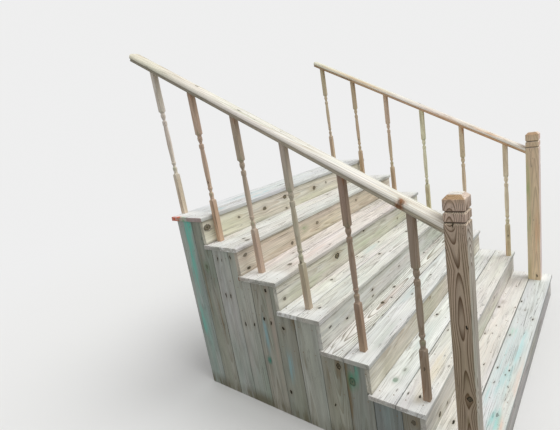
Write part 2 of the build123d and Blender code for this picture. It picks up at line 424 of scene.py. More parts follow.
# Risers. One upright pine board closes each step, standing on the tread below and reaching the one above.
# They are nailed to the stringers and left bare, and have aged to a yellowish grey with strong knots.
riser_edge = 0.002
riser_thickness = 0.0254
riser_finish = pine(
    "bare_pine_risers", ring_width=0.0055, late_wood=(0.7, 0.6, 0.48), mottle=(0.94, 0.97, 0.9), weather=0.5,
    lines=0.8,
)
green_mould = (142, 160, 116)
# Both ends of each riser are painted paler, in cream: painted light
riser_light_cream = (246, 244, 232)
riser_light_ends = ((40, 70, 130, 120, riser_light_cream, 0.55), (2030, 70, 130, 120, riser_light_cream, 0.55))
# Darker bands along each riser's top edge, under the nosing, and along its foot: dirt and painted shadow
dirt_and_shade_edges = ((1030, 6, 3000, 14, (128, 124, 108), 0.55), (1030, 146, 3000, 11, (134, 130, 114), 0.5))
riser_colours = {
    1: (196, 194, 192), 2: (212, 209, 202), 3: (212, 207, 196), 4: (215, 216, 211), 5: (217, 216, 205),
    6: (221, 210, 195), 7: (226, 223, 209),
}
riser_rings = {1: 0.2, 2: 0.3, 3: 0.55, 4: 0.3, 5: 0.45, 6: 0.5, 7: 0.55}
# A knot is along from the left end, down from the top edge, radius and darkness, with lengths in millimetres.
# A stain is along, down, half its length, half its width, colour and strength.
riser_knots = {
    1: ((520, 50, 6, 0.5), (1500, 90, 8, 0.5)),
    2: ((173, 111, 11, 1.0), (285, 130, 7, 0.8), (1350, 50, 8, 0.5)),
    3: ((840, 30, 8, 0.5), (1620, 100, 10, 0.6)),
    4: ((90, 60, 6, 0.8), (261, 98, 6, 1.0), (581, 68, 7, 0.9), (578, 110, 6, 0.8), (988, 75, 6, 0.8),
        (1250, 90, 7, 0.7)),
    5: ((55, 97, 9, 0.7), (627, 60, 19, 1.0), (1014, 7, 10, 1.0), (1600, 90, 9, 0.7)),
    6: ((60, 38, 11, 0.7), (71, 122, 10, 0.95), (497, 116, 10, 0.8), (810, 70, 13, 0.7),
        (1400, 50, 9, 0.7)),
    7: ((30, 45, 20, 0.85), (303, 60, 9, 0.75), (560, 70, 13, 0.9), (800, 45, 14, 0.9),
        (800, 130, 8, 0.7), (1190, 65, 14, 0.85), (1370, 60, 9, 0.6)),
}
riser_stains = {
    1: ((1000, 120, 1000, 40, (168, 166, 168), 0.5),),
    2: ((500, 140, 600, 30, (160, 160, 140), 0.4),),
    3: ((900, 130, 700, 30, (170, 164, 146), 0.4),),
    4: ((400, 100, 300, 40, (178, 186, 166), 0.5), (1000, 60, 100, 30, (220, 220, 214), 0.6)),
    5: ((300, 100, 300, 50, (186, 194, 162), 0.5), (1200, 100, 400, 40, (186, 194, 164), 0.4)),
    6: ((648, 66, 22, 16, (96, 132, 92), 0.9), (648, 66, 70, 40, green_mould, 0.45)),
    # Riser seven's first stain is painted light that brightens its left end
    7: ((40, 70, 360, 300, (247, 245, 226), 0.7), (150, 80, 200, 60, (200, 203, 170), 0.4),
        (1000, 120, 300, 30, (200, 202, 172), 0.4)),
}
for step in range(1, step_count + 1):
    low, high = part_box(f"riser_{step}")
    section = board_section(high.z - low.z, riser_thickness, riser_edge, 12)
    plank = board(
        straight_rings(high.x - low.x, section), (low.x, low.y, high.z), (1, 0, 0), (0, 0, -1), (0, -1, 0),
        seed=40 + step, colour=riser_colours[step], ring_show=riser_rings[step], knots=riser_knots[step],
        stains=riser_light_ends + riser_stains[step] + dirt_and_shade_edges, uneven=0.0004,
    )
    timber(f"riser_{step}", riser_finish, [plank])

# Skirts. Thirteen upright pine boards a side close the stairs, each cut to fit under the treads.
# They are nailed to the outer stringer and to the nailer, with a thin open joint that lets them swell.
skirt_board = 0.1397
skirt_joint = 0.0012
skirt_edge = 0.0015
skirt_finish = pine(
    "weathered_skirt_boards", ring_width=0.0048, late_wood=(0.66, 0.6, 0.53), mottle=(0.8, 0.86, 0.84),
    fibres=0.1, weather=0.7, mildew=0.8,
)
teal = (122, 217, 198)
grey_blue = (159, 198, 204)
earth_brown = (135, 118, 90)
splashed_foot = ((0, 70, 100, 300, (124, 118, 96), 0.7),)
skirt_colours = (
    (200, 208, 202), (189, 191, 179), (209, 212, 205), (204, 206, 197), (191, 190, 178), (178, 180, 167),
    (200, 204, 194), (189, 189, 176), (168, 172, 163), (155, 162, 159), (163, 161, 148), (155, 155, 145),
    (161, 159, 150),
)
# Knots and stains go by the board's number from the rear, up from the ground and forward from its rear edge.
left_knots = {
    2: ((890, 60, 11, 0.45),),
    3: ((955, 40, 5, 0.9), (950, 75, 4, 0.9), (720, 90, 5, 1.0), (716, 48, 5, 0.9)),
    4: ((548, 35, 5, 1.0), (561, 110, 5, 1.0), (976, 14, 5, 0.9)),
    5: ((802, 110, 7, 1.0), (620, 60, 7, 1.0), (602, 107, 5, 0.9)),
    6: ((587, 54, 8, 1.0), (172, 26, 7, 1.0)),
    8: ((452, 105, 12, 1.0), (200, 50, 4, 0.9)),
    9: ((385, 34, 18, 0.6),),
    11: ((270, 50, 10, 0.7),),
}
left_stains = {
    1: ((1160, 100, 90, 50, teal, 0.75), (1040, 78, 130, 50, teal, 0.8), (900, 68, 140, 38, teal, 0.9),
        (760, 70, 130, 30, teal, 0.9), (600, 42, 130, 26, teal, 0.9), (460, 44, 100, 24, teal, 0.8),
        (620, 70, 600, 50, (163, 200, 191), 0.5)),
    2: ((890, 60, 60, 30, (139, 163, 139), 0.7), (500, 100, 300, 16, earth_brown, 0.7),
        (700, 20, 350, 14, earth_brown, 0.6)),
    3: ((600, 30, 500, 20, (168, 176, 166), 0.5),),
    5: ((520, 50, 160, 24, grey_blue, 0.7), (345, 40, 35, 22, (84, 150, 134), 0.85),
        (600, 120, 550, 22, (207, 191, 178), 0.55)),
    6: ((360, 60, 160, 26, grey_blue, 0.75), (500, 130, 600, 18, earth_brown, 0.8)),
    7: ((300, 30, 400, 16, earth_brown, 0.5),),
    8: ((500, 100, 300, 18, earth_brown, 0.7), (300, 30, 250, 18, earth_brown, 0.6)),
    9: ((385, 30, 70, 45, (77, 168, 139), 0.8), (450, 70, 100, 20, (111, 185, 163), 0.8),
        (300, 8, 500, 16, earth_brown, 0.8)),
    10: ((300, 60, 200, 40, (157, 174, 172), 0.5),),
    11: ((285, 60, 40, 40, (139, 118, 85), 0.7),),
}
right_knots = {
    1: ((750, 50, 10, 0.8),),
    3: ((500, 80, 12, 0.9), (950, 50, 8, 0.8)),
    4: ((280, 40, 10, 0.8),),
    6: ((620, 90, 13, 0.9),),
    7: ((200, 60, 10, 0.8),),
    9: ((300, 50, 12, 0.9),),
    12: ((80, 60, 10, 0.7),),
}
right_stains = {
    2: ((600, 60, 400, 20, (128, 160, 146), 0.6),),
    5: ((300, 100, 300, 15, earth_brown, 0.5),),
    8: ((400, 50, 300, 14, grey_blue, 0.6),),
    10: ((200, 100, 200, 20, (128, 160, 146), 0.5),),
}
skirt_marks = (("left", -1, left_knots, left_stains), ("right", 1, right_knots, right_stains))
for side, out, knots, stains in skirt_marks:
    low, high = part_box(f"{side}_skirt")
    face = low.x if out < 0 else high.x
    boards = []
    rear = high.y
    while rear - low.y > skirt_joint:
        number = len(boards) + 1
        front = max(rear - skirt_board, low.y)
        step = max(n for n in range(step_count) if riser_backs[n] < rear - tolerance)
        tall, short = riser_tops[step], riser_tops[max(step - 1, 0)]
        cut = rear - riser_backs[step]
        section = board_section(rear - front, high.x - low.x, skirt_edge, 10)
        rings = straight_rings(tall, section)
        if rear - front > cut + tolerance:
            shoulder = [(short, c, d) for c, d in section]
            lower = [ring for ring in rings if ring[0][0] < short - seam_band]
            upper = [ring for ring in rings if ring[0][0] > short + seam_band]
            narrowed = [[(a, min(c, cut), d) for a, c, d in ring] for ring in [shoulder] + upper]
            rings = lower + [shoulder] + narrowed
        boards.append(board(
            rings, (face, rear, 0.0), (0, 0, 1), (0, -1, 0), (out, 0, 0), seed=60 + number + 20 * (out > 0),
            colour=skirt_colours[number - 1], ring_show=0.4 + 0.15 * (number % 3),
            knots=knots.get(number, ()), stains=stains.get(number, ()) + splashed_foot,
            uneven=0.0004, seams=[0.2 + 0.6 * (number * turn % 7) / 7 for turn in (5, 3)],
        ))
        rear = front - skirt_joint
    timber(f"{side}_skirt", skirt_finish, boards)

# Treads. Two pine boards with rounded edges make each step, laid side by side with a narrow open joint.
# They are screwed to the stringers and have bleached almost white, with grey streaks where water lies.
tread_board = 0.1397
tread_joint = 0.0026
tread_edge = 0.0045
tread_finish = pine(
    "bleached_tread_boards", ring_width=0.0062, late_wood=(0.3, 0.26, 0.21), late_start=0.55,
    mottle=(0.96, 0.98, 0.97), fibres=0.09, weather=0.4, lines=0.8, wander=(1.3, 0.024), cracks=1.0,
    mildew=1.0, relief=0.0008,
)
pale_blue = (186, 214, 218)
old_orange = (250, 92, 34)
end_grey = (218, 216, 207)
# Both ends of each tread board are painted lighter, towards white: painted light
painted_light_white = (252, 253, 250)
painted_light_share = 0.8
painted_light_reach = 0.12
end_grain_reach = 0.003
tread_light_ends = ((70, 70, 110, 100, painted_light_white, 0.6), (2020, 70, 110, 100, painted_light_white, 0.6))
end_trims = (0.0, 0.0018, 0.0006, 0.0024, 0.0, 0.0012)
front_greys = {1: 0.45, 2: 0.3, 3: 0.32, 4: 0.24, 5: 0.34, 6: 0.15, 7: 0.17}
back_seams = (0.45, 0.2)
tread_colours = {
    1: ((228, 232, 229), (243, 240, 234)), 2: ((246, 244, 237), (248, 250, 246)),
    3: ((240, 242, 238), (247, 246, 240)), 4: ((240, 241, 233), (244, 242, 235)),
    5: ((246, 239, 232), (242, 236, 229)), 6: ((240, 240, 234), (242, 241, 236)),
    7: ((230, 232, 230), (234, 236, 236)),
}
tread_rings = {
    1: (0.22, 0.25), 2: (0.3, 0.25), 3: (0.3, 1.0), 4: (0.45, 0.3), 5: (0.32, 0.35), 6: (0.5, 0.35),
    7: (0.25, 0.2),
}
# Knots and stains go along from the left end and back from the board's front edge, for the front board and
# then for the back one. An arched board, by its step and place, shows the loops of rings cut near the pith.
arched_board = {
    (3, 1): ((0, 75, -78), (500, 60, -55), (1000, 65, -60), (2100, 50, -40)),
    (6, 0): ((0, 60, -50), (1000, 50, -70), (2100, 50, -50)),
    (4, 0): ((0, 90, -50), (900, 70, -80), (2100, 60, -60)),
}
tread_knots = {
    1: (
        ((340, 50, 5.5, 0.5), (568, 43, 3, 0.7), (578, 110, 3.7, 0.7), (662, 71, 2.7, 0.7),
            (711, 119, 3, 1.0), (710, 61, 3, 1.0), (1072, 122, 5.5, 0.6), (1316, 29, 4.5, 1.0),
            (1430, 90, 3.7, 0.8), (1549, 129, 4.5, 1.0)),
        ((202, 66, 5.5, 1.0), (709, 45, 3, 1.0), (1035, 111, 3.7, 0.8), (1053, 75, 3, 0.7),
            (1157, 72, 3, 0.8), (1416, 104, 9, 0.8), (1444, 10, 3.7, 0.7), (1791, 56, 3, 0.9)),
    ),
    2: (
        ((101, 118, 3, 1.0), (101, 63, 4.5, 0.9), (382, 17, 4.5, 0.5), (713, 120, 3, 0.9)),
        ((164, 68, 12, 0.35), (258, 56, 5.5, 0.5), (97, 34, 3.7, 0.55), (866, 91, 5.5, 1.0)),
    ),
    3: (
        ((765, 87, 3.7, 1.0), (1075, 76, 3.7, 0.8), (1600, 80, 8, 0.6)),
        ((595, 65, 10, 1.0), (677, 41, 5.5, 0.9), (824, 88, 8, 0.95), (1463, 121, 8, 1.0)),
    ),
    4: (
        ((127, 80, 8, 0.8), (948, 119, 9, 1.0), (1016, 71, 3.7, 0.7), (1457, 128, 8, 1.0)),
        ((463, 70, 9, 0.8), (859, 104, 4.5, 0.9), (862, 67, 4.5, 0.9), (1177, 92, 5.5, 0.8),
            (1185, 131, 4.5, 1.0)),
    ),
    5: (
        ((250, 90, 12, 0.8), (620, 40, 3.7, 0.8)),
        ((420, 50, 4.5, 0.8), (1100, 60, 9, 0.7)),
    ),
    6: (
        ((150, 50, 10, 0.85), (170, 100, 8, 0.8)),
        ((550, 80, 4.5, 0.8), (1300, 70, 9, 0.6)),
    ),
    7: (
        ((420, 80, 3.7, 0.7), (900, 60, 8, 0.6)),
        ((660, 60, 3.7, 0.7), (1500, 80, 9, 0.6)),
    ),
}
# The stains in the painted light white are painted light on the left ends of some boards
tread_stains = {
    1: (
        ((780, 75, 500, 80, (198, 224, 222), 0.8), (1000, 70, 240, 60, (200, 230, 230), 0.6),
            (1120, 118, 70, 30, (166, 214, 190), 0.9), (550, 110, 200, 30, (190, 220, 220), 0.7),
            (300, 50, 120, 35, (152, 220, 216), 0.8), (310, 22, 80, 16, (236, 200, 180), 0.6),
            (500, 20, 450, 22, (240, 214, 196), 0.7), (1300, 70, 200, 50, (212, 218, 214), 0.7),
            (600, 14, 500, 16, (232, 222, 214), 0.4)),
        ((800, 70, 900, 60, (240, 231, 222), 0.6), (1500, 100, 50, 30, (170, 160, 150), 0.5)),
    ),
    2: (
        ((80, 70, 220, 160, painted_light_white, 0.8), (90, 60, 50, 40, (238, 228, 204), 0.4),
            (300, 75, 280, 45, (236, 228, 208), 0.8), (700, 100, 300, 30, (220, 222, 208), 0.5)),
        ((164, 68, 28, 23, (172, 212, 192), 0.9), (250, 56, 50, 30, (200, 214, 202), 0.4),
            (600, 80, 200, 40, (206, 216, 214), 0.7), (1400, 60, 300, 30, (204, 212, 208), 0.5)),
    ),
    3: (
        ((0, 70, 3, 200, (176, 176, 166), 0.6), (300, 40, 300, 20, (206, 214, 204), 0.5),
            (800, 100, 300, 30, (206, 216, 214), 0.6)),
        ((700, 60, 300, 30, (232, 214, 204), 0.3),),
    ),
    4: (
        ((0, 70, 3, 200, (184, 184, 174), 0.5), (300, 90, 300, 20, (200, 200, 188), 0.6)),
        ((80, 70, 240, 160, painted_light_white, 0.8), (900, 40, 500, 20, (204, 204, 196), 0.5),
            (1000, 90, 200, 30, (196, 212, 212), 0.6)),
    ),
    5: (
        ((600, 60, 500, 40, (232, 214, 204), 0.5),),
        ((0, 140, 40, 40, (150, 96, 58), 1.0), (600, 60, 400, 30, (206, 200, 192), 0.5)),
    ),
    6: (
        ((140, 70, 360, 160, painted_light_white, 0.8), (700, 50, 400, 20, (206, 208, 198), 0.5)),
        ((500, 100, 500, 20, (200, 200, 190), 0.5),),
    ),
    7: (
        ((0, 70, 3, 200, (184, 160, 156), 0.7), (204, 70, 80, 40, pale_blue, 0.9),
            (571, 60, 100, 40, pale_blue, 0.8), (707, 90, 60, 30, pale_blue, 0.8)),
        ((0, 115, 30, 80, old_orange, 1.0), (0, 45, 24, 40, (112, 172, 120), 0.9),
            (600, 50, 300, 30, pale_blue, 0.5)),
    ),
}


def blend(base, colour, share):
    """Goes from a base colour to another by a share worked out at each point"""
    return base * (1 - share[..., None]) + np.array(linear(colour)) * share[..., None]


def tread_shade(colour):
    """A tread board's colour: painted light towards both ends, beyond the handrails, and grey at the end
    grain
    """
    def shade(a, c, d):
        from_end = np.minimum(a, a.max() - a)
        end_light = np.clip(1.3 - from_end / painted_light_reach, 0, painted_light_share)
        base = blend(np.array(linear(colour)), painted_light_white, end_light)
        return blend(base, end_grey, np.clip(1 - from_end / end_grain_reach, 0, 1))
    return shade


for step in range(1, step_count + 1):
    low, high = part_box(f"tread_{step}")
    board_edges = (low.y, low.y + tread_board), (low.y + tread_board + tread_joint, high.y)
    boards = []
    for place, (front, back) in enumerate(board_edges):
        section = board_section(back - front, high.z - low.z, tread_edge, 10)
        trim = end_trims[(2 * step + place) % len(end_trims)]
        boards.append(board(
            straight_rings(high.x - low.x - trim, section),
            (low.x + trim, front, high.z), (1, 0, 0), (0, 1, 0), (0, 0, 1),
            seed=100 + 2 * step + place, colour=tread_shade(tread_colours[step][place]),
            ring_show=tread_rings[step][place], log=arched_board.get((step, place)),
            knots=tread_knots[step][place], stains=tread_light_ends + tread_stains[step][place], uneven=0.0005,
            seams=back_seams if place else (front_greys[step], 0.45),
        ))
    timber(f"tread_{step}", tread_finish, boards)

# Newel posts. A square pine post stands on each end of the lowest tread, bolted up from below.
# Two grooves and a bevelled top are cut round it with a router, and the sawn tops have bleached white.
# The near post is brown with bold arched grain on its outer face, and the other is yellower.
newel_edge = 0.002
newel_bevel = 0.017
top_ease = 0.001
top_ease_height = 0.0008
newel_ring_spacing = 0.014
groove_depth = 0.0065
groove_drops = (0.108, 0.065)
lip_reach = 0.0012
groove_step = 0.0022
groove_flat = 0.001
newel_finish = pine(
    "newel_pine", ring_width=0.0054, late_wood=(0.27, 0.21, 0.155), late_start=0.5, mottle=(0.94, 0.96, 0.92),
    weather=0.3, lines=0.25, wander=(2.4, 0.008), cracks=0.7,
)
# The lower, up-facing slope of each groove gets painted light in cream, and the groove itself painted shade
lit_lip_cream = (250, 234, 212)
bevel_tan = (216, 181, 144)
bevel_pale = (244, 224, 208)
bleached_top = (252, 246, 240)
tanned = (0.03, 0.17, 0.25)
tanned_start, tanned_fade = 1.0, 0.05
head_heights, head_shares = (0.45, 0.95, 1.035, 1.05), (0.0, 0.42, 0.5, 1.0)
lit_lip_strength, groove_shade = 0.7, 0.75
moss = (188, 198, 142)
olive = (112, 98, 58)
bevel_ring_show = 0.45
top_ring_show = 0.2
near_pith = (
    (0, 34, -18), (190, 36, -26), (270, 30, -23), (420, 34, -33.5), (500, 34, -35), (620, 36, -29.5),
    (750, 36, -34), (850, 34, -39.5), (940, 45, -34), (1000, 55, -26), (1040, 60, -14), (1080, 58, -20),
    (1150, 50, -34),
)
far_pith = ((0, 32, -30), (300, 28, -37), (700, 26, -45), (950, 30, -53), (1150, 40, -66))
# A post's three colours are of its sides, of its front and back, and of its head
newels = {
    "left": {
        "colours": ((197, 178, 155), (206, 198, 188), (239, 214, 197)),
        "log": near_pith, "ring_show": 1.0,
        "knots": ((276, 26, 10.5, 0.9), (609, 20, 3.5, 1.0), (1033, 48, 3, 0.9)),
        "stains": ((350, 36, 70, 14, olive, 0.75), (160, 38, 40, 14, olive, 0.7),
                   (300, 0, 500, 6, (180, 188, 170), 0.5)),
    },
    "right": {
        "colours": ((253, 229, 197), (247, 230, 222), (242, 218, 184)),
        "log": far_pith, "ring_show": 0.34,
        "knots": ((34, 24, 5.5, 0.8),),
        "stains": ((500, 82, 650, 32, moss, 0.95), (300, 20, 400, 30, (240, 196, 160), 0.5),
                   (50, 50, 160, 60, (214, 190, 150), 0.5)),
    },
}


def newel_shade(side_colour, front_colour, head_colour, size, height):
    """The post's colour: browner low down, with painted light on the groove lips and painted shade in the
    grooves, and a bleached top
    """
    def shade(a, c, d):
        to_front = np.clip((np.abs(c - size / 2) - np.abs(d + size / 2)) / 0.002 + 0.5, 0, 1)
        base = blend(np.array(linear(side_colour)), head_colour, np.interp(a, head_heights, head_shares))
        base = blend(base, front_colour, to_front)
        to_tanned = to_front * np.clip((a - tanned_start) / tanned_fade, 0, 1)
        base *= 1 - to_tanned[..., None] * np.array(tanned)
        # Painted light on each groove's up-facing lip, and painted shade in the groove and on its down-facing
        # wall
        for drop in groove_drops:
            middle = height - drop
            wall = middle - groove_step, middle - groove_flat
            edge = middle - groove_depth
            lip = np.interp(a, (edge - lip_reach, edge, *wall), (0, 1, 1, 0))
            deep = np.interp(a, (*wall, middle + groove_flat, middle + groove_depth), (0, 1, 1, 0))
            base = blend(base, lit_lip_cream, lit_lip_strength * lip) * (1 - groove_shade * deep[..., None])
        bevel = np.clip((a - height + newel_bevel + 0.001) / 0.002, 0, 1)
        base = blend(blend(base, bevel_tan, bevel * (1 - to_front)), bevel_pale, bevel * to_front)
        return blend(base, bleached_top, np.clip((a - height + 0.001) / 0.001, 0, 1))
    return shade


def newel_rings(size, height):
    """Rings up the post, drawn in at its foot, in its grooves and along its bevel, which has the last five"""
    section = board_section(size, size, newel_edge, 8)
    insets = [(0.0, 0.001), (0.001, 0.0)]
    for drop in groove_drops:
        middle, deepest = height - drop, groove_depth - 0.0004
        partly = deepest * (groove_depth - groove_step) / (groove_depth - groove_flat)
        insets += [(middle - groove_depth - lip_reach, 0.0), (middle - groove_depth, 0.0)]
        insets += [(middle - groove_step, partly), (middle - groove_flat, deepest)]
        insets += [(middle + groove_flat, deepest), (middle + groove_depth, 0.0)]
    last_rise = newel_bevel - top_ease_height
    bevel_slope = (newel_bevel - top_ease) / last_rise
    for rise in (0.0, 0.0015, newel_bevel - 0.003, last_rise):
        insets.append((height - newel_bevel + rise, rise * bevel_slope))
    insets.append((height, newel_bevel))
    rings = []
    for (start, inset), (end, _) in zip(insets, insets[1:] + [(height, 0)]):
        scale = 1 - 2 * inset / size
        drawn = [(size / 2 + (c - size / 2) * scale, (d + size / 2) * scale - size / 2) for c, d in section]
        stations = [start]
        if inset == 0.0 and end - start > 2 * newel_ring_spacing:
            stations = np.linspace(start, end, int((end - start) / newel_ring_spacing) + 1)[:-1]
        rings += [[(a, c, d) for c, d in drawn] for a in stations]
    return rings


for side, look in newels.items():
    low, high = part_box(f"{side}_newel")
    size, height = high.x - low.x, high.z - low.z
    post = board(
        newel_rings(size, height), (low.x, low.y, low.z), (0, 0, 1), (0, 1, 0), (-1, 0, 0),
        seed=130 + len(side), colour=newel_shade(*look["colours"], size, height), ring_show=look["ring_show"],
        log=look["log"], knots=look["knots"], stains=look["stains"],
    )
    post["tint"][-5:, :, 3] *= bevel_ring_show
    post["tint"][-2:, :, 3] = top_ring_show
    timber(f"{side}_newel", newel_finish, [post])

# Spindles. Six turned pine spindles a side stand on treads two to seven and are nailed under the handrail.
# Each is square at foot and head, with beads and a slim vase turned between, and is cut to the rail's slope.
baluster_count = 6
lower_square = 0.269
upper_square_start = 0.645
arris_cut = 0.0015
shoulder_length = 0.011
beyond_corners = 1.42
# A turn is a radius in halves of the spindle's side, and a height in sides from the end of a square
foot_turns = [
    (0.77, 0.0), (0.77, 0.35), (0.87, 0.65), (0.9, 0.95), (0.87, 1.08), (0.55, 1.3), (0.55, 1.5),
    (0.84, 1.88), (0.92, 1.97), (0.92, 2.2), (0.75, 2.27),
]
head_turns = [
    (0.75, -2.42), (0.92, -2.36), (0.94, -2.0), (0.92, -1.62), (0.8, -1.55), (0.54, -1.5), (0.54, -1.32),
    (0.86, -0.8), (0.93, -0.72), (0.93, -0.3), (0.8, -0.2), (0.8, 0.0),
]
belly_radius = 0.96
belly_part = 0.54
belly_steps = 24
spindle_finish = pine(
    "turned_spindle_pine", ring_width=0.0042, late_wood=(0.64, 0.52, 0.42), mottle=(0.93, 0.97, 0.9),
    weather=0.3, cracks=0.6,
)
spindle_colours = {
    "left": (
        (181, 165, 149), (190, 167, 152), (221, 210, 196), (224, 205, 190), (227, 203, 181), (251, 243, 232),
    ),
    "right": (
        (255, 243, 216), (246, 226, 200), (244, 241, 214), (232, 212, 188), (222, 202, 174), (232, 214, 188),
    ),
}
rust_brown = (176, 112, 60)
foot_share = (0.88, 0.82, 0.76)
foot_fade = 0.05
head_margin = 0.004


def spindle_shade(colour):
    """The spindle's colour, browner on the lower square"""
    def shade(a, c, d):
        foot = np.clip((lower_square - a) / foot_fade, 0, 1)[..., None]
        return np.array(linear(colour)) * (1 - foot * (1 - np.array(foot_share)))
    return shade


def eased_turns(turns):
    """Points between the given (height, radius) turns, easing from one radius to the next"""
    points = []
    for (z0, r0), (z1, r1) in zip(turns, turns[1:]):
        for part in (0, 1 / 3, 2 / 3):
            points.append((z0 + (z1 - z0) * part, r0 + (r1 - r0) * part ** 2 * (3 - 2 * part)))
    return points + [turns[-1]]


def spindle_profile(side):
    """Heights and radii up a spindle to its upper square, where a square is a radius beyond its corners"""
    reach = side / 2 * beyond_corners

    def shoulder(height, radius, direction):
        steps = range(6, 0, -1) if direction < 0 else range(1, 7)
        rise = direction * shoulder_length / 6
        return [(height + rise * n, radius + (reach - radius) * (n / 6) ** 2) for n in steps]

    foot = [(lower_square + h * side, r * side / 2) for r, h in foot_turns]
    head = [(upper_square_start + h * side, r * side / 2) for r, h in head_turns]
    profile = [(0.0, reach - 0.001), (0.001, reach)] + [(lower_square * n / 12, reach) for n in range(1, 12)]
    profile += shoulder(lower_square, foot[0][1], -1)
    (start, start_radius), (end, end_radius) = foot[-1], head[0]
    widest, fullest = start + belly_part * (end - start), belly_radius * side / 2
    profile += eased_turns(foot)
    for n in range(1, belly_steps + 1):
        part = n / belly_steps
        radius = start_radius + (fullest - start_radius) * sin(part * pi / 2)
        profile.append((start + (widest - start) * part, radius))
    for n in range(1, belly_steps):
        part = n / belly_steps
        radius = end_radius + (fullest - end_radius) * cos(part * pi / 2)
        profile.append((widest + (end - widest) * part, radius))
    return profile + eased_turns(head) + shoulder(*head[-1], 1)


first_low, first_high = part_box("left_baluster_1")
last_low, last_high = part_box(f"left_baluster_{baluster_count}")
rail_slope = (last_high.z - first_high.z) / (last_low.y - first_low.y)
quarter = (0, 12, 24, 34, 40, 43, 45, 47, 50, 56, 66, 78)
spindle_angles = [radians(90 * turn + angle) for turn in range(4) for angle in quarter]
for side, colours in spindle_colours.items():
    for number, colour in enumerate(colours, 1):
        low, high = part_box(f"{side}_baluster_{number}")
        width, length = high.x - low.x, high.z - low.z
        corner = width / 2 / cos(radians(45)) - arris_cut / 2
        straight_start = upper_square_start + shoulder_length
        straight_end = length - rail_slope * width - head_margin
        profile = spindle_profile(width)
        profile += [(straight_start + (straight_end - straight_start) * n / 12, width) for n in range(1, 13)]
        rings = []
        for height, radius in profile:
            ring = []
            for angle in spindle_angles:
                flat = width / 2 / max(abs(cos(angle)), abs(sin(angle)))
                reach = min(flat, corner, radius)
                ring.append((height, width / 2 + reach * cos(angle), -width / 2 + reach * sin(angle)))
            rings.append(ring)
        rings.append([(length - rail_slope * (width - c), c, d) for height, c, d in rings[-1]])
        spindle = board(
            rings, (low.x, low.y, low.z), (0, 0, 1), (0, 1, 0), (-1, 0, 0),
            seed=150 + number + 10 * (side == "right"), colour=spindle_shade(colour), ring_show=0.5,
            knots=((120 + 50 * number, 12, 4, 0.6),) if number % 2 else (),
            stains=(
                (300, 0, 20, 30, green_mould, 0.35), (660, 0, 20, 30, green_mould, 0.3),
                (1000 * length - 30, 0, 50, 16, rust_brown, 0.25 * (number % 3)),
                (50, 31, 100, 10, rust_brown, 0.3 * ((number + 1) % 3)),
            ),
        )
        timber(f"{side}_baluster_{number}", spindle_finish, [spindle])

# Handrails. Each is one pine rail laid flat, with a raised strip along its top, rounded shoulders and a cove
# down each side. It is cut plumb at both ends, toenailed to the newel post below and bleached pale on top.
rail_thickness = 0.0381
rail_flat = 0.042
rail_edge_height = 0.015
shoulder_fullness = 0.42
cove_radius = 0.006
cove_depth = 0.004
cove_height = 0.0088
lower_arris = 0.0009
colour_fade = 0.004
# The arris is darkened by dirt, and the cove by painted shade
arris_dirt, cove_shade = 0.25, 0.6
browner_stretch, browner_shares = (0.4, 1.9), (1.0, 0.78)
aged_stretch = (1.1, 1.9)
rail_ring_spacing = 0.016
rail_finish = pine(
    "handrail_pine", ring_width=0.0052, late_wood=(0.66, 0.56, 0.44), late_start=0.5,
    mottle=(0.97, 0.98, 0.95), fibres=0.08, weather=0.3, lines=0.6, relief=0.0006,
)
rail_top_colour = (254, 250, 242)
rail_aged_top = (243, 239, 222)
rail_side_colours = {"left": (212, 204, 186), "right": (240, 208, 174)}
rail_knots = {
    "left": ((200, -38, 9, 0.5), (1160, -12, 5, 0.7), (1520, 10, 6, 0.7)),
    "right": ((900, 20, 6, 0.7), (280, -10, 5, 0.8)),
}
rail_stains = {
    "left": ((200, -38, 20, 20, (204, 140, 98), 1.0), (1100, -20, 400, 12, (206, 208, 186), 0.6)),
    "right": ((500, -34, 600, 18, (232, 182, 134), 0.8), (1500, -32, 500, 16, (226, 198, 158), 0.6)),
}


def arc_points(start, middle, end, count):
    """Points along the circle through three points"""
    (x1, y1), (x2, y2), (x3, y3) = start, middle, end
    turn = 2 * (x1 * (y2 - y3) + x2 * (y3 - y1) + x3 * (y1 - y2))
    s1, s2, s3 = x1 * x1 + y1 * y1, x2 * x2 + y2 * y2, x3 * x3 + y3 * y3
    cx = (s1 * (y2 - y3) + s2 * (y3 - y1) + s3 * (y1 - y2)) / turn
    cy = (s1 * (x3 - x2) + s2 * (x1 - x3) + s3 * (x2 - x1)) / turn
    first, last = atan2(y1 - cy, x1 - cx), atan2(y3 - cy, x3 - cx)
    radius = ((x1 - cx) ** 2 + (y1 - cy) ** 2) ** 0.5
    angles = [first + (last - first) * n / count for n in range(count + 1)]
    return [(cx + radius * cos(angle), cy + radius * sin(angle)) for angle in angles]


def rail_section(width):
    """Half of the rail's section, from the middle of its top down to its underside, and then its mirror"""
    half = width / 2
    slope_middle = ((rail_flat / 2 + half) / 2, (rail_thickness + rail_edge_height) / 2)
    fullest = (
        slope_middle[0] + shoulder_fullness * (half - slope_middle[0]),
        slope_middle[1] + shoulder_fullness * (rail_thickness - slope_middle[1]),
    )
    points = [(rail_flat / 2 * n / 4, rail_thickness) for n in range(4)]
    points += arc_points((rail_flat / 2, rail_thickness), fullest, (half, rail_edge_height), 8)
    cove_middle = half + cove_radius - cove_depth
    opening = atan2((cove_radius ** 2 - (cove_middle - half) ** 2) ** 0.5, cove_middle - half)
    for n in range(9):
        angle = pi - opening + 2 * opening * n / 8
        points.append((cove_middle + cove_radius * cos(angle), cove_height + cove_radius * sin(angle)))
    points += [(half, lower_arris), (half - lower_arris, 0.0), (half * 0.6, 0.0), (half * 0.3, 0.0)]
    return points + [(0.0, 0.0)] + [(-x, z) for x, z in points[:0:-1]]


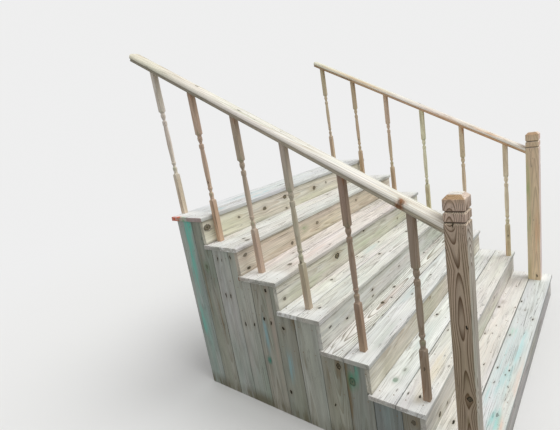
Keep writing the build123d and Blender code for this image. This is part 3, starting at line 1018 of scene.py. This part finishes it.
def rail_shade(side_colour):
    """Pale on top, where the sun gets at it, browner down the sides, dirty by the arris, and with painted
    shade in the cove
    """
    def shade(a, c, d):
        top = np.clip((d - rail_edge_height) / colour_fade, 0, 1)
        arris = np.clip(1 - np.abs(np.abs(c) - rail_flat / 2) / colour_fade, 0, 1)[..., None]
        # The cove down each side is darkened: painted shade
        cove = np.clip(1.4 - np.abs(d - cove_height) / cove_radius, 0, 1)[..., None]
        cove *= (np.abs(c) > rail_flat)[..., None]
        worn = np.array(linear(side_colour)) * np.interp(a, browner_stretch, browner_shares)[..., None]
        worn = blend(worn, rail_top_colour, top)
        worn = blend(worn, rail_aged_top, top * np.interp(a, aged_stretch, (0, 1)))
        return worn * (1 - arris_dirt * arris) * (1 - cove_shade * cove)
    return shade


rail_angle = atan2(rail_slope, 1)
for side in ("left", "right"):
    low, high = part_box(f"{side}_handrail")
    length = high.y - low.y
    section = rail_section(high.x - low.x)
    steps = int(length / rail_ring_spacing)
    rings = []
    for n in range(steps + 1):
        a = length * n / steps / cos(rail_angle)
        rings.append([(a + height * rail_slope, across, height) for across, height in section])
    rail = board(
        rings, ((low.x + high.x) / 2, low.y, low.z),
        (0, cos(rail_angle), sin(rail_angle)), (1, 0, 0), (0, -sin(rail_angle), cos(rail_angle)),
        seed=180 + len(side), colour=rail_shade(rail_side_colours[side]), ring_show=0.55,
        knots=rail_knots[side], stains=rail_stains[side],
    )
    timber(f"{side}_handrail", rail_finish, [rail])

# Screws. Coated deck screws hold the treads, two in each board over every stringer, and the skirt boards.
# Their flat heads have a six-lobed recess and have gone dull brown with rust at the rim.
screw_radius = 0.0036
screw_rise = 0.0003
screw_root = 0.0006
recess_depth = 0.0018
screw_corners = 24
screw_rings = (
    (screw_radius, -screw_root), (screw_radius, screw_rise * 0.6), (screw_radius * 0.93, screw_rise),
    (0, screw_rise), (0, -recess_depth),
)
tread_screw_insets = (0.03, 0.108, 0.175, 0.248)
skirt_screw_insets = (0.028, 0.112)
skirt_screw_drops = (0.045, 0.2)
tread_screw_sink, skirt_screw_sink = 0.0004, 0.0002
narrowest_board, screwed_width, lowest_screw = 0.08, 0.1, 0.03
screw_crease = 30
coating_stops = ((0.35, linear((136, 128, 112))), (0.65, linear((176, 148, 118))))
screw_metal, metal_tree, metal_shader = new_finish("rusty_screw_coating")
metal_place = add_node(metal_tree, "TexCoord", {})["Object"]
rust = add_node(metal_tree, "TexNoise", {"Vector": metal_place, "Scale": 700, "Detail": 4})["Fac"]
plug(metal_tree, metal_shader, {
    "Base Color": add_ramp(metal_tree, rust, coating_stops),
    "Normal": add_node(metal_tree, "Bump", {"Height": rust, "Distance": 0.0001})["Normal"],
    "Metallic": 0.4,
    "Roughness": 0.55,
})


def screws(name, spots):
    """Joined screw heads, each at a spot given as its place on the face and the face's direction"""
    chance = random.Random(name)
    points, faces = [], []
    for spot, out in spots:
        turn = chance.uniform(0, pi)
        across = Vector((0, 0, 1)) if abs(out[2]) < 0.5 else Vector((1, 0, 0))
        level = Vector(out).cross(across)
        rows = []
        for radius, rise in screw_rings:
            rows.append(range(len(points), len(points) + screw_corners))
            for n in range(screw_corners):
                angle = turn + 2 * pi * n / screw_corners
                reach = radius or screw_radius * (0.46 + 0.09 * cos(6 * angle)) * (1 if rise > 0 else 0.9)
                outwards = (across * cos(angle) + level * sin(angle)) * reach
                points.append(Vector(spot) + outwards + Vector(out) * rise)
        for row, inner in zip(rows, rows[1:]):
            for n in range(screw_corners):
                following = (n + 1) % screw_corners
                faces.append([row[n], row[following], inner[following], inner[n]])
        faces.append(list(rows[-1]))
    heads = make_piece(name, points, faces, screw_metal, screw_crease)
    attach(heads, "root")


stringer_boxes = [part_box(f"stringer_{n}") for n in range(1, stringer_count + 1)]
stringer_lines = [(low.x + high.x) / 2 for low, high in stringer_boxes]
scatter = random.Random(7)
for step in range(1, step_count + 1):
    low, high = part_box(f"tread_{step}")
    spots = []
    for x in stringer_lines:
        for inset in tread_screw_insets:
            y = low.y + inset + scatter.uniform(-0.005, 0.005)
            spots.append(((x + scatter.uniform(-0.006, 0.006), y, high.z - tread_screw_sink), (0, 0, 1)))
    screws(f"tread_{step}_screws", spots)
for side, out in (("left", -1), ("right", 1)):
    low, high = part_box(f"{side}_skirt")
    face = (low.x if out < 0 else high.x) - out * skirt_screw_sink
    spots = []
    rear = high.y
    while rear - low.y > narrowest_board:
        board_top = max(top for back, top in zip(riser_backs, riser_tops) if back < rear - screwed_width)
        for inset in skirt_screw_insets:
            for drop in skirt_screw_drops:
                if board_top - drop > lowest_screw:
                    y = rear - inset + scatter.uniform(-0.004, 0.004)
                    z = board_top - drop + scatter.uniform(-0.008, 0.008)
                    spots.append(((face, y, z), (out, 0, 0)))
        rear -= skirt_board + skirt_joint
    screws(f"{side}_skirt_screws", spots)

# Studio. A pale level floor lies under the stairs and fades into an even pale backdrop some metres away.
# It looks darker to the wood than to the camera, so that it throws little light up under the treads.
# An even sky and one broad soft lamp, above and in front, give light that hardly casts a shadow.
floor_reach = 40.0
floor_lit = (0.26, 0.26, 0.255, 1)
floor_seen = (0.84, 0.84, 0.83, 1)
fade_start = 2.5
fade_end = 7.0
backdrop_level = 0.86
sky_light = 0.54
lamp_energy = 1.8
lamp_spread = 50
lamp_from = Vector((0.2, -0.54, 0.82))
floor_finish, floor_tree, floor_shader = new_finish("studio_floor")
to_camera = add_node(floor_tree, "LightPath", {})["Is Camera Ray"]
floor_colour = add_mix(floor_tree, to_camera, floor_lit, floor_seen)
plug(floor_tree, floor_shader, {"Base Color": floor_colour, "Roughness": 0.9, "Specular IOR Level": 0.1})
floor_place = add_node(floor_tree, "TexCoord", {})["Object"]
floor_far = add_node(floor_tree, "VectorMath", {0: floor_place}, operation="LENGTH")["Value"]
fade_limits = {"Value": floor_far, "From Min": fade_start, "From Max": fade_end}
floor_fade = add_node(floor_tree, "MapRange", fade_limits, interpolation_type="SMOOTHSTEP")["Result"]
camera_fade = add_node(floor_tree, "Math", {0: floor_fade, 1: to_camera}, operation="MULTIPLY")[0]
far_glow = add_node(floor_tree, "Emission", {"Color": (backdrop_level, backdrop_level, backdrop_level, 1)})[0]
near_and_far = {"Fac": camera_fade, 1: floor_shader.outputs[0], 2: far_glow}
faded_floor = add_node(floor_tree, "MixShader", near_and_far)[0]
plug(floor_tree, floor_tree.nodes["Material Output"], {"Surface": faded_floor})
floor_mesh = bpy.data.meshes.new("studio_floor")
floor_corners = [(x * floor_reach, y * floor_reach, 0) for x, y in ((-1, -1), (1, -1), (1, 1), (-1, 1))]
floor_mesh.from_pydata(floor_corners, [], [(0, 1, 2, 3)])
floor_mesh.materials.append(floor_finish)
floor = bpy.data.objects.new("studio_floor", floor_mesh)
bpy.context.scene.collection.objects.link(floor)

sky = bpy.data.worlds.new("soft_sky")
sky.use_nodes = True
rays = add_node(sky.node_tree, "LightPath", {})
shown = rays["Is Camera Ray"]
for ray in ("Is Glossy Ray", "Is Transmission Ray"):
    shown = add_node(sky.node_tree, "Math", {0: shown, 1: rays[ray]}, operation="MAXIMUM")[0]
sky_levels = {"Value": shown, "To Min": sky_light, "To Max": backdrop_level}
sky_level = add_node(sky.node_tree, "MapRange", sky_levels)["Result"]
plug(sky.node_tree, sky.node_tree.nodes["Background"], {"Color": (1, 1, 1, 1), "Strength": sky_level})
bpy.context.scene.world = sky

lamp = bpy.data.lights.new("soft_lamp", "SUN")
lamp.energy = lamp_energy
lamp.angle = radians(lamp_spread)
lamp_holder = bpy.data.objects.new("soft_lamp", lamp)
lamp_holder.rotation_euler = lamp_from.to_track_quat("Z", "Y").to_euler()
bpy.context.scene.collection.objects.link(lamp_holder)

# Camera. It stands in front of the stairs and to their left, a little above the foot of the handrail,
# and looks up the flight. Its place and its three directions are given in the part's own frame.
camera_place = (-2.45974912, -1.32187937, 1.67955818)
camera_right = Vector((0.62241018, -0.76563801, -0.16249313))
camera_down = Vector((-0.27650424, -0.02086876, -0.96078609))
camera_ahead = Vector((0.73222331, 0.64293308, -0.22469108))
lens = bpy.data.cameras.new("camera")
lens.sensor_fit = "HORIZONTAL"
lens.sensor_width = 36
lens.lens = 25.2827
camera = bpy.data.objects.new("camera", lens)
turned_view = Matrix((camera_right, -camera_down, -camera_ahead)).transposed().to_4x4()
turned_view.translation = camera_place
camera.matrix_world = turned_view
bpy.context.scene.collection.objects.link(camera)
bpy.context.scene.camera = camera
bpy.context.scene.view_settings.view_transform = "Standard"
